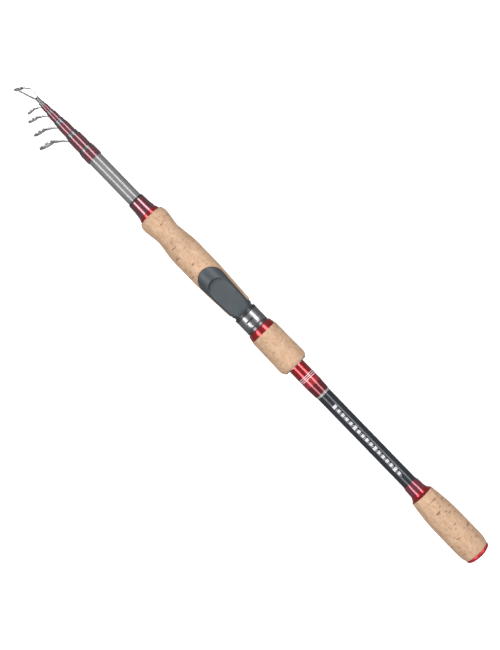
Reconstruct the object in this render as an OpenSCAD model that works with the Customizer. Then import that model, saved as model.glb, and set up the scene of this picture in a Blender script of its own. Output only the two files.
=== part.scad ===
// Telescopic fishing rod, shown closed: a butt section with cork grips and a reel
// seat, four tubular sections that each carry one line guide, and a tip section.
// +X runs toward the tip. +Z stands square on the reel-foot bed, whose centre is the
// origin. The line guides point to the +Y side.

/* [Telescoping tubes] */
// Diameter of the solid tip section at its root
tip_root_od = 2.8; // [2.4:0.1:3.6]
// Diameter of the tip section at its thin end
tip_end_od = 1.8; // [1.4:0.1:2.4]
// Wall of sections 1, 2, 3 and 4, from the thickest to the thinnest
tube_wall = [0.82, 0.8, 0.71, 0.55]; // [0.45:0.01:1.4]
// Wall of the butt blank
butt_wall = 1.05; // [0.8:0.05:1.6]
// Radius that each section gains at its root, where it jams in the mouth ahead of it
root_flare = [0.2, 0.18, 0.15, 0.14, 0.12]; // [0.1:0.01:0.3]
// Radial gap between one tube and the next
tube_gap = 0.05; // [0.03:0.01:0.08]
// Length of the taper at each root and in each mouth
taper_len = 60; // [40:1:80]
// Length of each root that stays in the mouth when the section is drawn out
overlap_len = 56; // [40:1:58]
// Distance that each section slides out
draw_len = 314; // [200:1:340]

/* [Butt section] */
// Blank from the fore grip to its mouth
front_blank_len = 75; // [60:1:110]
// Blank from the wrap behind the reel seat to the wrap ahead of the butt grip
rear_blank_len = 98.6; // [60:1:140]
// Length of the ring at the mouth
mouth_ring_len = 2.2; // [1.5:0.1:4]
// Thickness of the ring at the mouth
mouth_ring_t = 0.3; // [0.2:0.1:0.8]
// Length of the thread wrap behind the mouth
mouth_wrap_len = 9; // [5:0.5:15]
// Thickness of the thread wrap behind the mouth
mouth_wrap_t = 0.65; // [0.4:0.05:1]
// Gap filled with glue between the blank and what is fixed on it
glue_gap = 0.05; // [0.02:0.01:0.1]

/* [Section fronts] */
// Length of the thread wrap on sections 1, 2, 3 and 4
wrap_len = [12.8, 10.4, 7.6, 6.4]; // [5:0.1:20]
// Thickness of those wraps
wrap_t = [1.2, 0.98, 0.88, 0.9]; // [0.85:0.01:1.6]
// Length of the ring ahead of each wrap
ring_len = [3.6, 4.4, 2.4, 3.6]; // [2:0.1:6]
// Thickness of that ring
ring_t = [0.45, 0.4, 0.32, 0.32]; // [0.2:0.02:0.6]
// Space between a section's wrap and the mouth that it sits on
seat_gap = 0.2; // [0.1:0.05:0.4]

/* [Line guides] */
// Outside diameter of the guide on sections 1, 2, 3 and 4
guide_od = [14.5, 11.4, 9.6, 7.6]; // [6:0.1:20]
// Inside diameter of the ceramic ring in each guide
guide_bore = [10.4, 8, 6.6, 5]; // [3:0.1:15]
// Height of each ring's centre over the rod's axis
guide_height = [19.85, 17.0, 13.7, 10.2]; // [9:0.1:26]
// Distance of each ring's centre ahead of its section's mouth
guide_reach = [6.6, 3.1, 4.1, 0.15]; // [0:0.05:10]
// Forward lean of each ring
guide_lean = [14, 11.5, 13.5, 3]; // [0:0.5:30]
// Diameter of the wire of each frame
guide_wire = [1.2, 1.1, 1, 0.9]; // [0.6:0.05:2]
// Width of each ceramic ring along the line
guide_ring_w = [1.9, 1.7, 1.6, 1.4]; // [1.2:0.1:3]
// Turn of the guides away from the +Z direction, toward +Y
guide_turn = 83; // [0:1:180]

/* [Tip top] */
// Outside diameter of the tip ring
tip_ring_od = 7.8; // [6:0.1:10]
// Inside diameter of the tip ring's ceramic ring
tip_ring_bore = 5; // [3:0.1:7]
// Distance of the tip ring's centre ahead of the mouth of section 4
tip_ring_reach = 19.9; // [14:0.1:26]
// Height of the tip ring's centre over the rod's axis
tip_ring_height = 5.2; // [4:0.1:9]
// Forward lean of the tip ring
tip_ring_lean = 29; // [0:1:45]
// Length of the tube on the tip section's end
tip_tube_len = 5; // [3:0.5:10]
// Wall of that tube
tip_tube_wall = 0.65; // [0.5:0.05:1]
// Diameter of the two lower wires
tip_leg_wire = 1.1; // [0.8:0.05:1.5]
// Diameter of the two brace wires
tip_brace_wire = 0.65; // [0.5:0.05:1]

/* [Fore grip] */
// Length of the cork fore grip
fore_grip_len = 102.3; // [95:0.5:130]
// Thickness of the cork at the waist behind the front bead
fore_waist_t = 4.15; // [3.8:0.1:6]
// Thickness of the cork at the palm swell
fore_swell_t = 6.3; // [5.5:0.1:8]
// Thickness of the cork at its rear end
fore_rear_t = 4.35; // [4.2:0.1:5.5]
// Length of the flared winding check
check_len = 13; // [8:0.5:20]
// Length of the bright ring behind the winding check
check_ring_len = 3.2; // [2:0.1:5]
// Length of the dark ring ahead of the winding check
trim_ring_len = 1.6; // [1:0.1:3]

/* [Reel seat] */
// Length of the bed between the two hoods
bed_len = 36; // [30:1:50]
// From the front of the bed to the front of the fore grip
mouth_to_grip = 71.6; // [65:0.1:80]
// From the front of the bed to the nose of the saddle
nose_len = 11.2; // [9:0.1:13]
// Depth of the pocket under the fixed hood
pocket_len = 9; // [6:0.5:9.5]
// Height of the space for the reel foot in both hoods
foot_space = 3.4; // [2.8:0.1:3.4]
// Half width of the recessed bed
bed_half_w = 8.2; // [7:0.1:8.6]
// Half width of the saddle let into the cork, near its nose
saddle_half_w = 11; // [9.5:0.1:11.2]
// Half width of the saddle at the rear end of the cork
saddle_rear_half_w = 9.3; // [8.8:0.1:10]
// Wall of the fixed hood over the pocket
fixed_wall = 1.3; // [1:0.1:1.6]
// Height of the bed over the rod's axis
bed_height = 7.6; // [7.4:0.1:8]
// Wall of the barrel that carries the hood and the nut
barrel_wall = 2.7; // [2.2:0.1:3.2]
// Gap of the hood and the nut round the barrel
barrel_gap = 0.1; // [0.05:0.01:0.15]

/* [Moving hood and nut] */
// Length of the hood's front collar
collar_len = 2.8; // [2:0.1:5]
// Length of the steel hood
hood_len = 11.6; // [9:0.1:16]
// Length of the dark ring behind the hood
hood_ring_len = 2; // [1.5:0.1:3]
// Length of the red ring on the nut
nut_ring_len = 6; // [5:0.1:9]
// Length of the cork on the nut
nut_cork_len = 36.2; // [30:0.1:45]
// Thickness of the cork on the nut
nut_cork_t = 2.1; // [1.5:0.1:4]
// Lead of the thread for one turn of the nut
nut_pitch = 2; // [1:0.25:3]
// Distance that the hood and nut go back from rest
hood_back = 18; // [10:1:22]
// Distance that the hood and nut go forward from rest
hood_forward = 2; // [1:0.5:2]

/* [Rear trim] */
// Length of the red tube that shows behind the nut
rear_tube_len = 11; // [6:0.5:16]
// Thickness of that tube
rear_tube_t = 0.9; // [0.6:0.1:1.2]
// Width of each white band
band_w = 0.5; // [0.4:0.1:1.5]
// Space between two white bands
band_space = 1.05; // [0.4:0.05:1.2]
// Length of the bright part of the wrap
bright_wrap_len = 6.9; // [4:0.1:12]
// Length of the dark part of the wrap
dark_wrap_len = 8.7; // [5:0.1:12]
// Length of the clear resin that runs out on the blank
resin_len = 1.8; // [1:0.1:3]

/* [Butt grip and cap] */
// Length of the cork butt grip
butt_grip_len = 62.9; // [50:0.5:90]
// Greatest thickness of the cork
butt_grip_t = 6.5; // [5.5:0.1:8]
// Length of the thread wrap ahead of the butt grip
butt_wrap_len = 9.6; // [6:0.1:15]
// Length of the flared red ring ahead of the butt grip
butt_check_len = 4.3; // [3:0.1:6]
// Length of the butt cap's dome
cap_len = 4.8; // [3.5:0.1:8]
// Radius of the butt cap
cap_r = 11.3; // [10:0.1:12]
// Radius of the cap's thread
cap_thread_r = 4.1; // [3.4:0.1:4.3]
// Length of the cap's thread
cap_thread_len = 14; // [10:1:20]
// Distance that the cap unscrews
cap_back = 12; // [6:1:14]

/* [Hidden] */
$fn = 96;
eps = 0.01;

// Radii of the tubes, worked out from the tip outward
tip_r = tip_root_od / 2 - root_flare[4];
s4_r = tip_root_od / 2 + tube_gap + tube_wall[3];
s3_r = s4_r + root_flare[3] + tube_gap + tube_wall[2];
s2_r = s3_r + root_flare[2] + tube_gap + tube_wall[1];
s1_r = s2_r + root_flare[1] + tube_gap + tube_wall[0];
blank_r = s1_r + root_flare[0] + tube_gap + butt_wall;
section_r = [s1_r, s2_r, s3_r, s4_r];
inner_r = [s2_r, s3_r, s4_r, tip_r];
on_blank_r = blank_r + glue_gap;

// Small lengths: the nut's play, its rear ring, its skirt behind the barrel, the room
// for the cap's seal behind the blank, and a height clear of everything on the seat
nut_gap = 0.2;
rear_ring_len = 0.6;
nut_skirt_len = 4.5;
seal_room = 4.4;
clear = 20;

// Stations along X on the butt section, from the bed's centre
mouth_front_x = bed_len / 2;
grip_front_x = mouth_front_x + mouth_to_grip;
grip_rear_x = grip_front_x - fore_grip_len;
check_rear_x = grip_front_x + check_ring_len;
check_front_x = check_rear_x + check_len;
trim_front_x = check_front_x + trim_ring_len;
mouth_x = grip_front_x + front_blank_len;
collar_front_x = -bed_len / 2;
hood_front_x = collar_front_x - collar_len;
hood_rear_x = hood_front_x - hood_len;
hood_end_x = hood_rear_x - hood_ring_len;
nut_front_x = hood_end_x - nut_gap;
nut_cork_x = hood_end_x - nut_ring_len;
nut_rear_x = nut_cork_x - nut_cork_len;
nut_end_x = nut_rear_x - rear_ring_len;
barrel_rear_x = nut_end_x + hood_forward + nut_skirt_len;
tube_rear_x = nut_end_x - rear_tube_len;
bands_rear_x = tube_rear_x - 3 * band_w - 2 * band_space;
bright_rear_x = bands_rear_x - bright_wrap_len;
dark_rear_x = bright_rear_x - dark_wrap_len;
resin_rear_x = dark_rear_x - resin_len;
butt_wrap_x = resin_rear_x - rear_blank_len;
butt_check_x = butt_wrap_x - butt_wrap_len;
butt_grip_x = butt_check_x - butt_check_len;
butt_end_x = butt_grip_x - butt_grip_len;
blank_rear_x = butt_end_x + seal_room;

// Stations of the four sections, each seated on the mouth behind it
wrap_1_x = mouth_x + seat_gap;
wrap_2_x = wrap_1_x + wrap_len[0] + ring_len[0];
wrap_3_x = wrap_2_x + wrap_len[1] + ring_len[1];
wrap_4_x = wrap_3_x + wrap_len[2] + ring_len[2];
tip_x = wrap_4_x + wrap_len[3] + ring_len[3];
wrap_x = [wrap_1_x, wrap_2_x, wrap_3_x, wrap_4_x];
section_mouth_x = [wrap_2_x, wrap_3_x, wrap_4_x, tip_x];
tube_len = draw_len + overlap_len;

// Radii on the reel seat
barrel_r = on_blank_r + barrel_wall;
hood_bore_r = barrel_r + barrel_gap;
liner_wall = 0.48;
shell_wall = 0.5;
shell_gap = 0.02;
liner_r = hood_bore_r + liner_wall;
shell_r = liner_r + shell_gap + shell_wall;
bed_drop = 0.2;
arch_in_r = bed_height - bed_drop + foot_space;
arch_liner_r = arch_in_r + liner_wall;
arch_shell_r = arch_liner_r + shell_gap + shell_wall;
arch_half_w = 7.2;
arch_back = 2.4;
key_w = 3;
key_depth = 0.9;
seat_rim_r = barrel_r + 0.8;
seat_rim_x = collar_front_x + hood_forward + 0.4;

// Points on a smooth curve through the keys, each key being [x, r]
function slope(k, i) = let(a = max(i - 1, 0), b = min(i + 1, len(k) - 1))
    (k[b][1] - k[a][1]) / (k[b][0] - k[a][0]);
function bend(p, q, mp, mq, f) = (2 * f ^ 3 - 3 * f ^ 2 + 1) * p[1] + (3 * f ^ 2 - 2 * f ^ 3) * q[1]
    + (f ^ 3 - 2 * f ^ 2 + f) * (q[0] - p[0]) * mp + (f ^ 3 - f ^ 2) * (q[0] - p[0]) * mq;
function curve(k, n = 4) = concat([for (i = [0:len(k) - 2]) for (j = [0:n - 1]) let(f = j / n)
    [k[i][0] + f * (k[i + 1][0] - k[i][0]), bend(k[i], k[i + 1], slope(k, i), slope(k, i + 1), f)]],
    [k[len(k) - 1]]);

// Outlines of the cork, as [x, r], from the front end back
fore_outline = curve([
    [grip_front_x, on_blank_r + 4.2],
    [grip_front_x - 1.8, on_blank_r + 5.2],
    [grip_front_x - 5.2, on_blank_r + 5.9],
    [grip_front_x - 10, on_blank_r + 5.4],
    [grip_front_x - 19.5, on_blank_r + fore_waist_t],
    [grip_front_x - 28, on_blank_r + (fore_waist_t + fore_swell_t) / 2 - 0.2],
    [grip_front_x - 38, on_blank_r + fore_swell_t - 0.1],
    [grip_front_x - 52, on_blank_r + fore_swell_t],
    [grip_front_x - 66, on_blank_r + fore_swell_t - 0.05],
    [grip_front_x - 84, on_blank_r + (fore_rear_t + fore_swell_t) / 2 + 0.1],
    [grip_rear_x, on_blank_r + fore_rear_t]]);
butt_outline = curve([
    [butt_grip_x, on_blank_r + butt_grip_t - 2.6],
    [butt_grip_x - 8, on_blank_r + butt_grip_t - 1.5],
    [butt_grip_x - 20, on_blank_r + butt_grip_t - 0.35],
    [butt_grip_x - 30, on_blank_r + butt_grip_t - 0.05],
    [butt_end_x + 18, on_blank_r + butt_grip_t],
    [butt_end_x + 7, on_blank_r + butt_grip_t - 0.15],
    [butt_end_x + 2.6, on_blank_r + butt_grip_t - 0.7],
    [butt_end_x, on_blank_r + butt_grip_t - 1.6]]);

// A solid of revolution about the rod's axis, from points [x, r]
module turned(points) {
    translate([0, 0, -bed_height])
        rotate([0, 90, 0])
            rotate_extrude()
                polygon([for (p = points) [p[1], p[0]]]);
}

// A plain ring about the rod's axis, from x0 forward to x1
module ring(x0, x1, outer, inner) {
    turned([[x0, inner], [x1, inner], [x1, outer], [x0, outer]]);
}

// A thread wrap with its resin: a low crown with rounded ends
module wrap(x0, x1, inner, t0, t1) {
    e = min(0.7, (x1 - x0) / 6);
    turned([[x0, inner], [x1, inner], [x1, inner + t1 * 0.95], [x1 - e, inner + t1],
        [(x0 + x1) / 2, inner + max(t0, t1) + 0.08], [x0 + e, inner + t0], [x0, inner + t0 * 0.8]]);
}

// A bar along X whose section is a circle about the rod's axis with an arch on top
module arched(x0, x1, r, arch_r, half_w) {
    translate([x0, 0, -bed_height])
        rotate([90, 0, 90])
            linear_extrude(x1 - x0)
                union() {
                    circle(r);
                    intersection() {
                        circle(arch_r);
                        translate([-half_w, 0])
                            square([2 * half_w, arch_r + 1]);
                    }
                }
}

// A round wire from p to q, with a slightly larger ball at q
module wire(p, q, r) {
    v = q - p;
    length = norm(v);
    translate(p)
        rotate([0, acos(v[2] / length), atan2(v[1], v[0])])
            cylinder(r = r, h = length);
    translate(q)
        sphere(r * 1.03);
}

// A block from one corner to the other
module block(low, high) {
    translate(low)
        cube(high - low);
}

// ---- Butt section ----
module butt_blank() {
    color("dimgray")
        turned([[blank_rear_x, blank_r], [mouth_x, blank_r], [mouth_x, s1_r + tube_gap],
            [mouth_x - taper_len, blank_r - butt_wall], [blank_rear_x, blank_r - butt_wall]]);
}

module mouth_ring() {
    color("slategray")
        ring(mouth_x - mouth_ring_len, mouth_x, on_blank_r + mouth_ring_t, on_blank_r);
}

module mouth_wrap() {
    rear = mouth_x - mouth_ring_len - mouth_wrap_len;
    color("maroon")
        wrap(rear, mouth_x - mouth_ring_len, on_blank_r, mouth_wrap_t, mouth_wrap_t);
}

module trim_ring() {
    color("black")
        wrap(check_front_x, trim_front_x, on_blank_r, 0.75, 0.65);
}

module fore_check() {
    color("firebrick")
        turned(concat([[check_rear_x, on_blank_r], [check_front_x, on_blank_r]], curve([
            [check_front_x, on_blank_r + 0.95],
            [check_front_x - check_len * 0.42, on_blank_r + 1.15],
            [check_front_x - check_len * 0.7, on_blank_r + 1.5],
            [check_rear_x, on_blank_r + 2.1]])));
}

module fore_check_ring() {
    color("red")
        turned([[grip_front_x, on_blank_r], [check_rear_x, on_blank_r], [check_rear_x, on_blank_r + 2.2],
            [check_rear_x - 0.4, on_blank_r + 2.5], [grip_front_x, on_blank_r + 3.3]]);
}

// Plan of the saddle that is let into the cork, grown by a margin
module saddle_block(margin) {
    nose_x = mouth_front_x + nose_len;
    round_x = nose_x - saddle_half_w;
    low = -bed_height + barrel_r * 0.45 - margin;
    w = saddle_half_w + margin;
    rear_w = saddle_rear_half_w + margin;
    translate([round_x, 0, low])
        cylinder(r = w, h = clear);
    translate([0, 0, low])
        linear_extrude(clear)
            polygon([[round_x, -w], [round_x, w], [grip_rear_x - margin, rear_w],
                [grip_rear_x - margin, -rear_w]]);
}

module fore_grip() {
    color("burlywood")
        difference() {
            turned(concat([[grip_front_x, on_blank_r]], fore_outline, [[grip_rear_x, on_blank_r]]));
            ring(grip_rear_x - 1, mouth_front_x + 16, barrel_r + glue_gap, 0);
            saddle_block(glue_gap);
        }
}

module seat_body() {
    bed_end_x = mouth_front_x - bed_half_w;
    saddle_end_x = mouth_front_x + 13;
    color("#23272b")
        difference() {
            union() {
                ring(barrel_rear_x, mouth_front_x + 15.9, barrel_r, on_blank_r);
                ring(seat_rim_x, grip_rear_x - 0.02, seat_rim_r, on_blank_r);
                intersection() {
                    turned(concat([[saddle_end_x, on_blank_r], [saddle_end_x, on_blank_r + fore_swell_t]],
                        [for (p = fore_outline) if (p[0] < saddle_end_x) p], [[grip_rear_x, on_blank_r]]));
                    saddle_block(0);
                }
            }
            // Recess over the bed, round at the mouth of the fixed hood
            translate([bed_end_x, 0, 0])
                cylinder(r = bed_half_w, h = clear);
            block([collar_front_x, -bed_half_w, 0], [bed_end_x, bed_half_w, clear]);
            // Pocket under the fixed hood, whose roof follows the outside
            difference() {
                intersection() {
                    block([bed_end_x, -arch_half_w - 0.3, -bed_drop],
                        [mouth_front_x + pocket_len, arch_half_w + 0.3, foot_space - bed_drop]);
                    ring(bed_end_x, mouth_front_x + pocket_len, on_blank_r + fore_swell_t - fixed_wall, 0);
                }
                translate([bed_end_x, 0, -1])
                    cylinder(r = bed_half_w, h = clear);
            }
            // Flat along the top of the barrel, and the keyway along its underside
            block([barrel_rear_x - 1, -clear, -bed_drop], [collar_front_x, clear, clear]);
            block([barrel_rear_x - 1, -key_w / 2 - 0.1, -bed_height - barrel_r - 1],
                [seat_rim_x - 0.5, key_w / 2 + 0.1, -bed_height - barrel_r + key_depth + 0.1]);
        }
}

module rear_tube() {
    color("red")
        ring(tube_rear_x, barrel_rear_x - 0.1, on_blank_r + rear_tube_t, on_blank_r);
}

module trim_bands() {
    step = band_w + band_space;
    color("white")
        for (i = [0:2])
            ring(tube_rear_x - i * step - band_w, tube_rear_x - i * step,
                on_blank_r + rear_tube_t + 0.03, on_blank_r);
}

module rear_wrap() {
    step = band_w + band_space;
    color("maroon") {
        for (i = [0:1])
            ring(tube_rear_x - (i + 1) * step, tube_rear_x - i * step - band_w,
                on_blank_r + rear_tube_t, on_blank_r);
        turned([[bands_rear_x, on_blank_r], [bands_rear_x, on_blank_r + rear_tube_t],
            [bright_rear_x, on_blank_r + rear_tube_t], [bright_rear_x - 2, on_blank_r + rear_tube_t * 0.75],
            [dark_rear_x + 0.8, on_blank_r + 0.4], [dark_rear_x, on_blank_r + 0.2],
            [dark_rear_x, on_blank_r]]);
    }
}

module rear_wrap_resin() {
    color("lightgray")
        turned([[dark_rear_x, on_blank_r], [dark_rear_x, on_blank_r + 0.18],
            [resin_rear_x, on_blank_r + 0.06], [resin_rear_x, on_blank_r]]);
}

module butt_wrap() {
    color("maroon")
        turned([[butt_check_x, on_blank_r], [butt_check_x, on_blank_r + 1.1],
            [butt_wrap_x - 3, on_blank_r + 0.75], [butt_wrap_x - 0.7, on_blank_r + 0.3],
            [butt_wrap_x, on_blank_r + 0.1], [butt_wrap_x, on_blank_r]]);
}

module butt_check() {
    color("red")
        turned(concat([[butt_grip_x, on_blank_r], [butt_check_x, on_blank_r]], curve([
            [butt_check_x, on_blank_r + 1.15],
            [butt_check_x - butt_check_len * 0.5, on_blank_r + 2],
            [butt_grip_x, on_blank_r + butt_grip_t - 2.7]])));
}

module butt_grip() {
    color("burlywood")
        turned(concat([[butt_grip_x, on_blank_r]], butt_outline, [[butt_end_x, on_blank_r]]));
}

// Threaded sleeve glued in the end of the blank, with a flange over its edge
module butt_insert() {
    sleeve_r = blank_r - butt_wall - glue_gap;
    color("silver")
        turned([[blank_rear_x + 18, sleeve_r], [blank_rear_x + 18, cap_thread_r + 0.1],
            [blank_rear_x - 1.5, cap_thread_r + 0.1], [blank_rear_x - 1.5, blank_r],
            [blank_rear_x, blank_r], [blank_rear_x, sleeve_r]]);
}

// ---- Butt cap, which screws into the insert ----
module butt_cap() {
    dome = cap_len - 1.2;
    color("crimson")
        turned(concat([[butt_end_x - 0.1, 0], [butt_end_x - 0.1, cap_r - 0.3], [butt_end_x - 0.4, cap_r]],
            [for (a = [0:10:90]) [butt_end_x - 1.2 - dome * sin(a), cap_r * cos(a)]]));
}

module cap_screw() {
    front = butt_end_x + cap_thread_len;
    color("gray")
        turned([[butt_end_x - 0.1, 0], [front + 3, 0], [front + 3, 1.5], [front, 1.5],
            [front, cap_thread_r], [butt_end_x - 0.1, cap_thread_r]]);
}

module cap_seal() {
    color("black")
        ring(butt_end_x, blank_rear_x - 1.6, blank_r - 0.1, cap_thread_r);
}

module cap_bumper() {
    front = butt_end_x + cap_thread_len;
    color("#303030")
        difference() {
            turned([[front + 0.2, 0], [front + 5, 0], [front + 5.5, 1], [front + 5.5, cap_thread_r - 1.2],
                [front + 4.6, cap_thread_r - 0.2], [front + 0.2, cap_thread_r - 0.2]]);
            ring(front, front + 3.2, 1.56, 0);
        }
}

// ---- Moving hood: plastic liner, steel hood and thrust ring ----
module hood_liner() {
    color("black")
        difference() {
            union() {
                arched(hood_front_x, collar_front_x, shell_r + 0.1, arch_shell_r + 0.1, arch_half_w + 1.1);
                arched(hood_rear_x + arch_back, hood_front_x + eps, liner_r, arch_liner_r,
                    arch_half_w + liner_wall);
                ring(hood_rear_x, hood_rear_x + arch_back + eps, liner_r, hood_bore_r);
            }
            ring(hood_rear_x - 1, collar_front_x + 1, hood_bore_r, 0);
            arched(hood_rear_x + 3, collar_front_x + 1, hood_bore_r, arch_in_r, arch_half_w);
        }
    // Tongue that runs in the barrel's keyway
    color("black")
        difference() {
            block([hood_rear_x, -key_w / 2, -bed_height - hood_bore_r - 0.2],
                [collar_front_x - 0.5, key_w / 2, -bed_height - barrel_r + key_depth]);
            ring(hood_rear_x - 1, collar_front_x + 1, barrel_r - key_depth - 0.5, 0);
        }
}

module moving_hood() {
    rear_r = shell_r + 0.15;
    slot_x = (hood_front_x + hood_rear_x) / 2 + 0.9;
    color("silver")
        difference() {
            intersection() {
                arched(hood_rear_x, hood_front_x, shell_r, arch_shell_r,
                    arch_half_w + liner_wall + shell_wall + shell_gap);
                turned([[hood_rear_x - 1, 0], [hood_front_x + 1, 0], [hood_front_x + 1, arch_shell_r + 1],
                    [hood_front_x - 1, arch_shell_r + 0.1], [hood_rear_x + 2.6, arch_shell_r - 0.05],
                    [hood_rear_x + 1.2, arch_shell_r - 0.6], [hood_rear_x, rear_r],
                    [hood_rear_x - 1, rear_r]]);
            }
            ring(hood_rear_x - 1, hood_front_x + 1, liner_r + shell_gap, 0);
            arched(hood_rear_x + arch_back, hood_front_x + 1, liner_r + shell_gap, arch_liner_r + shell_gap,
                arch_half_w + liner_wall + shell_gap);
            block([slot_x - 0.75, -3.5, arch_liner_r - bed_height - 0.5],
                [slot_x + 0.75, 3.5, arch_shell_r - bed_height + 1]);
        }
}

module hood_ring() {
    sleeve_r = hood_bore_r + 0.45;
    lip_r = hood_bore_r + 1;
    color("#3a3d40")
        turned([[hood_end_x - 4, hood_bore_r], [hood_rear_x, hood_bore_r], [hood_rear_x, shell_r],
            [hood_end_x, shell_r], [hood_end_x, sleeve_r], [hood_end_x - 3, sleeve_r],
            [hood_end_x - 3, lip_r], [hood_end_x - 4, lip_r]]);
}

// ---- Screw nut, which traps the thrust ring's lip ----
nut_core_r = hood_bore_r + 1.25;
nut_cork_r = nut_core_r + glue_gap + nut_cork_t;

module nut_ring() {
    color("red")
        turned([[nut_front_x, hood_bore_r + 0.55], [nut_front_x, nut_cork_r - 1.9],
            [nut_front_x - 1, nut_cork_r - 1.3], [nut_front_x - 2.6, nut_cork_r - 1],
            [nut_cork_x + 1, nut_cork_r - 0.6], [nut_cork_x, nut_cork_r - 0.75],
            [nut_cork_x, nut_core_r + glue_gap], [hood_end_x - 2.8, nut_core_r + glue_gap],
            [hood_end_x - 2.8, hood_bore_r + 0.55]]);
}

module nut_core() {
    color("black")
        ring(nut_rear_x, hood_end_x - 4.3, nut_core_r, hood_bore_r + 0.05);
}

module nut_cork() {
    inner = nut_core_r + glue_gap;
    color("burlywood")
        turned(concat([[nut_rear_x, inner], [nut_cork_x, inner]], curve([
            [nut_cork_x, nut_cork_r - 0.3],
            [nut_cork_x - 1.4, nut_cork_r],
            [nut_cork_x - nut_cork_len * 0.5, nut_cork_r + 0.1],
            [nut_rear_x + 4.6, nut_cork_r + 0.35],
            [nut_rear_x + 2.2, nut_cork_r - 0.1],
            [nut_rear_x + 0.6, nut_cork_r - 1],
            [nut_rear_x, nut_cork_r - 1.6]])));
}

module nut_rear_ring() {
    color("lightgray")
        ring(nut_end_x, nut_rear_x, nut_core_r + 0.3, on_blank_r + rear_tube_t + 0.5);
}

// ---- Sections 1 to 4: tube, ring, wrap, guide frame and ceramic ring ----
module section_blank(i) {
    mouth = section_mouth_x[i];
    root = wrap_x[i] - seat_gap - tube_len;
    bore = inner_r[i] + root_flare[i + 1] + tube_gap;
    color("dimgray")
        turned([[root, bore], [mouth - taper_len, bore], [mouth, inner_r[i] + tube_gap],
            [mouth, section_r[i]], [root + taper_len, section_r[i]], [root, section_r[i] + root_flare[i]]]);
}

module section_ring(i) {
    front = section_mouth_x[i];
    inner = section_r[i] + 0.02;
    outer = section_r[i] + ring_t[i];
    color("slategray")
        turned([[front - ring_len[i], inner], [front, inner], [front, outer - 0.12], [front - 0.2, outer],
            [front - ring_len[i], outer]]);
}

// Moves a guide from the rod's axis with +Z along the guide to its place
module at_guide_side() {
    translate([0, 0, -bed_height])
        rotate([-guide_turn, 0, 0])
            children();
}

// The flat foot of each guide, under its wrap
foot_t = 0.28;
function foot_w(i) = 1.2 * guide_wire[i];
function foot_z(i) = section_r[i] + ring_t[i] + 0.05;

module section_wrap(i) {
    front = wrap_x[i] + wrap_len[i];
    inner = section_r[i] + 0.02;
    color("maroon")
        difference() {
            wrap(wrap_x[i], front, inner, wrap_t[i], wrap_t[i] * 0.95);
            at_guide_side()
                block([front - wrap_len[i] * 0.6 - 0.1, -foot_w(i) / 2 - 0.05, foot_z(i) - 0.03],
                    [front + 1, foot_w(i) / 2 + 0.05, foot_z(i) + foot_t + 0.03]);
        }
}

// Wall of the metal band round each ceramic ring
band_t = 0.5;

// A band about the line's path, leaning forward, for a ring of outside diameter od
module guide_band(centre, lean, od, w) {
    translate(centre)
        rotate([0, 90 + lean, 0])
            translate([0, 0, -w * 0.3])
                difference() {
                    cylinder(r = od / 2, h = w * 0.6);
                    translate([0, 0, -1])
                        cylinder(r = od / 2 - band_t, h = w * 0.6 + 2);
                }
}

// The ceramic ring that sits in a band, with rounded edges
module guide_insert(centre, lean, od, bore, w) {
    t = od / 2 - band_t - 0.02 - bore / 2;
    land = max(w - t, 0.4);
    translate(centre)
        rotate([0, 90 + lean, 0])
            rotate_extrude()
                union() {
                    translate([bore / 2, -land / 2])
                        square([t, land]);
                    translate([bore / 2 + t / 2, land / 2])
                        circle(t / 2);
                    translate([bore / 2 + t / 2, -land / 2])
                        circle(t / 2);
                }
}

// A point on the outside of a leaning ring: turn 0 is nearest the rod, side is -1 or 1
function ring_point(centre, lean, r, turn, side) = centre
    + [-sin(lean) * cos(turn) * r, side * sin(turn) * r, -cos(lean) * cos(turn) * r];

function guide_centre(i) = [section_mouth_x[i] + guide_reach[i], 0, guide_height[i]];

module guide_frame(i) {
    wire_r = guide_wire[i] / 2;
    start_x = section_mouth_x[i] - ring_len[i] + wire_r + 0.15;
    color("gray")
        at_guide_side() {
            guide_band(guide_centre(i), guide_lean[i], guide_od[i], guide_ring_w[i]);
            block([wrap_x[i] + wrap_len[i] * 0.4, -foot_w(i) / 2, foot_z(i)],
                [start_x + wire_r * 0.5, foot_w(i) / 2, foot_z(i) + foot_t]);
            for (side = [-1, 1]) {
                p = [start_x, side * wire_r * 0.75, foot_z(i) + wire_r];
                q = ring_point(guide_centre(i), guide_lean[i], guide_od[i] / 2 + wire_r - 0.25, 48, side);
                knee = p + [0.36 * (q[0] - p[0]), 0.25 * (q[1] - p[1]), 0.26 * (q[2] - p[2])];
                translate(p)
                    sphere(wire_r);
                wire(p, knee, wire_r);
                wire(knee, q, wire_r * 0.98);
            }
        }
}

module guide_ring(i) {
    color("#3c4146")
        at_guide_side()
            guide_insert(guide_centre(i), guide_lean[i], guide_od[i], guide_bore[i], guide_ring_w[i]);
}

// ---- Tip section ----
tip_tube_x = tip_x + seat_gap;
tip_tube_r = tip_end_od / 2 + glue_gap + tip_tube_wall;
tip_centre = [tip_x + tip_ring_reach, 0, tip_ring_height];
tip_ring_w = 1.7;

module tip_blank() {
    root = tip_x - tube_len;
    end_r = tip_end_od / 2;
    color("dimgray")
        turned([[root, 0], [root, tip_r + root_flare[4]], [root + taper_len, tip_r], [tip_x - 40, end_r],
            [tip_tube_x + tip_tube_len - 0.5, end_r], [tip_tube_x + tip_tube_len - 0.5, 0]]);
}

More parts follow.
